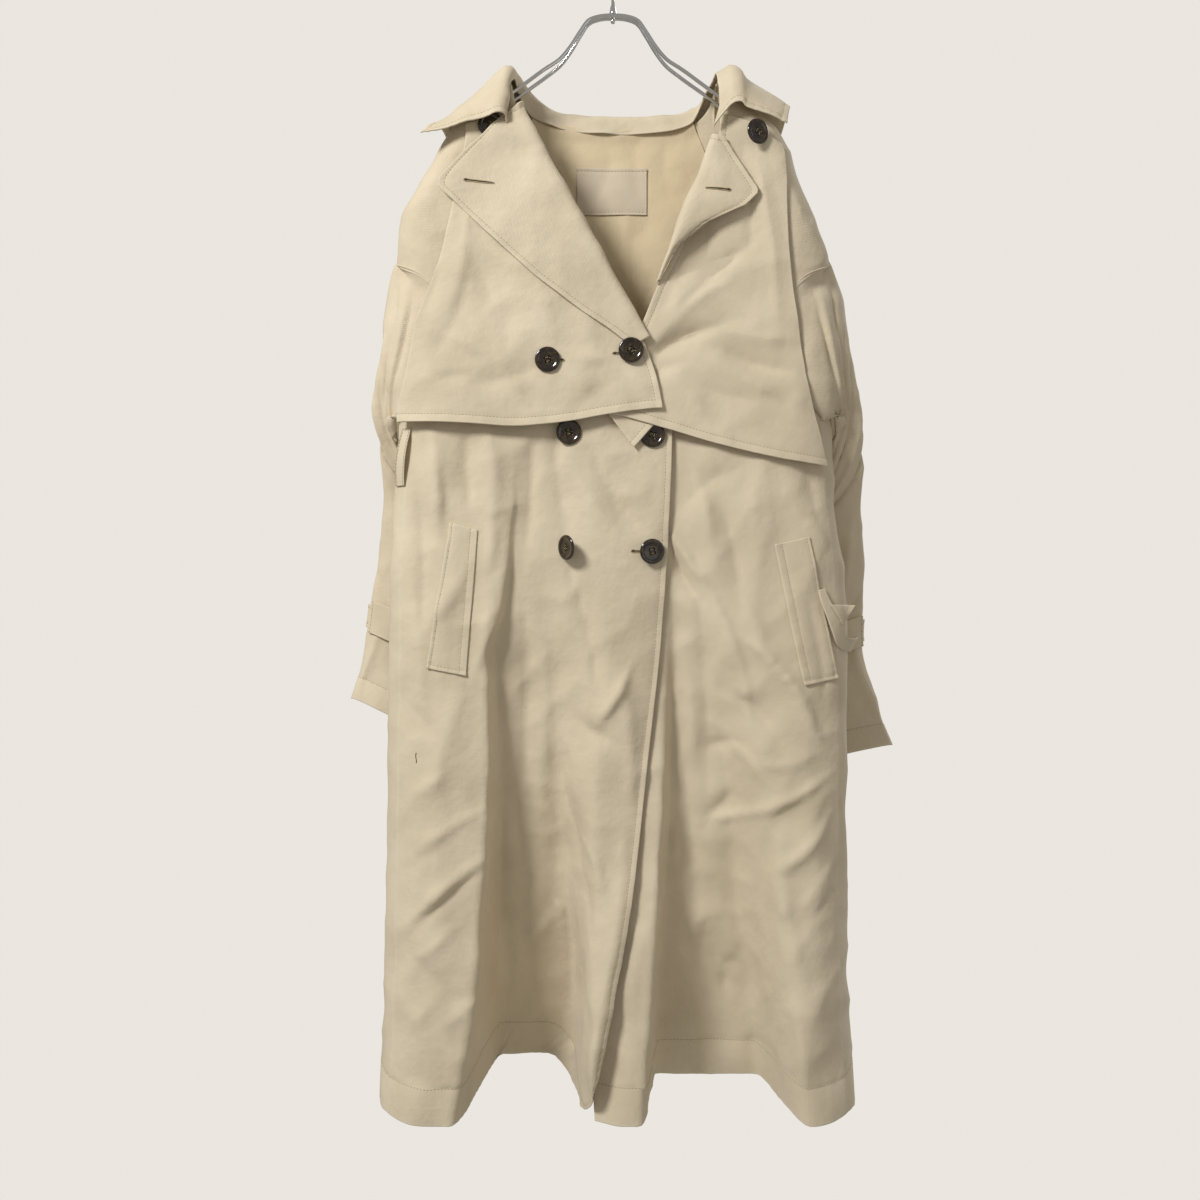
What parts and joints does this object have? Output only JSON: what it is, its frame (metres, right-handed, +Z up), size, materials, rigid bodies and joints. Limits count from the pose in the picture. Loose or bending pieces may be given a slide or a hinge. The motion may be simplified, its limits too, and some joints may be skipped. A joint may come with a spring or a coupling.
{
  "type": "trench coat on a wire hanger",
  "caption": "Beige double-breasted cotton trench coat with an open collar and cape front, hanging flat on a chrome wire hanger.",
  "frame": {"origin": "inside top of the hanger's hook, where the hanger and the coat hang", "axes": "+Z up along the hanger's stem, +Y towards the coat's back, +X towards the wearer's left side; the front faces -Y"},
  "size_m": [0.5828, 0.1582, 1.2165],
  "materials": {
    "twill": "warm beige cotton twill, matte",
    "inside_twill": "wrong side of the twill, matte",
    "label": "plain woven label, matte",
    "button": "dark mottled tortoiseshell, polished",
    "wire": "polished"
  },
  "bodies": {
    "root": {"front_right": "twill", "front_left": "twill", "back_panel": "twill", "sleeve_right": "twill", "sleeve_left": "twill", "storm_flap_right": "twill", "storm_flap_left": "twill", "storm_flap_left_corner": "twill", "lapel_right": "twill", "lapel_left": "twill", "collar": "twill", "pocket_welt_right": "twill", "pocket_welt_left": "twill", "belt_loop": "twill", "cuff_strap_right": "twill", "cuff_strap_left": "twill", "cuff_keeper_right": "twill", "cuff_keeper_left": "twill", "back_lining": "inside_twill", "neck_label": "label", "button_cape_outer": "button", "button_cape_front": "button", "button_waist_outer": "button", "button_waist_front": "button", "button_skirt_outer": "button", "button_skirt_front": "button", "button_shoulder_left": "button", "button_shoulder_right": "button", "hanger_frame": "wire", "hanger_hook": "wire"}
  },
  "joints": []
}
